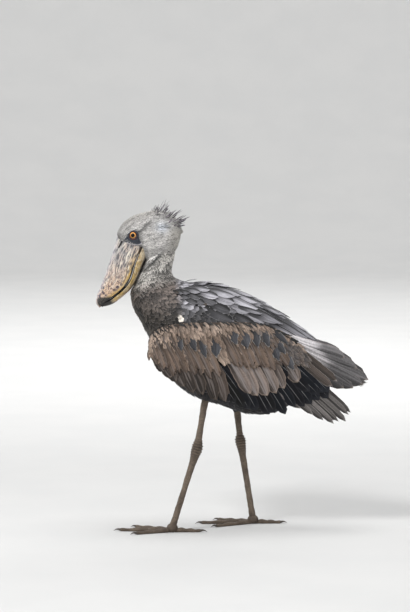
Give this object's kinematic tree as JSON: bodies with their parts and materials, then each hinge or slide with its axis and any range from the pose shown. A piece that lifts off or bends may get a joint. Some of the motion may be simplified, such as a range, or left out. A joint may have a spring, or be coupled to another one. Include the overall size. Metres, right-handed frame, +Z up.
{
  "type": "shoebill model",
  "caption": "Still life-size model of a shoebill in mid stride, with a huge hooked bill, folded wings and long bare legs on spread toes.",
  "frame": {"origin": "on the floor, under the middle of the model's box", "axes": "+Z up; the bird faces -X, its left side is at -Y and its right side at +Y"},
  "size_m": [0.797, 0.2934, 0.9552],
  "materials": {
    "head_feather": "short matt silvery grey feathers with a loose crest",
    "body_feather": "matt slate grey feathers with thin pale edges",
    "wing_feather": "matt worn brown coverts with buff edges over dark slate flight feathers",
    "bill_horn": "satin yellow-buff horn with dark purple-brown blotches",
    "leg_skin": "dull dark brown scaled skin",
    "claw_horn": "satin black-brown horn",
    "eye": "wet amber iris with a black pupil"
  },
  "bodies": {
    "root": {"head": "head_feather", "neck": "body_feather", "torso": "body_feather", "tail": "body_feather", "upper_bill": "bill_horn", "lower_bill": "bill_horn", "eye_left": "eye", "wing_left": "wing_feather", "thigh_left": "body_feather", "tibia_left": "leg_skin", "tarsus_left": "leg_skin", "toe_left_middle": "leg_skin", "toe_left_inner": "leg_skin", "toe_left_outer": "leg_skin", "toe_left_hind": "leg_skin", "claw_left_middle": "claw_horn", "claw_left_inner": "claw_horn", "claw_left_outer": "claw_horn", "claw_left_hind": "claw_horn", "eye_right": "eye", "wing_right": "wing_feather", "thigh_right": "body_feather", "tibia_right": "leg_skin", "tarsus_right": "leg_skin", "toe_right_middle": "leg_skin", "toe_right_inner": "leg_skin", "toe_right_outer": "leg_skin", "toe_right_hind": "leg_skin", "claw_right_middle": "claw_horn", "claw_right_inner": "claw_horn", "claw_right_outer": "claw_horn", "claw_right_hind": "claw_horn"}
  },
  "joints": []
}
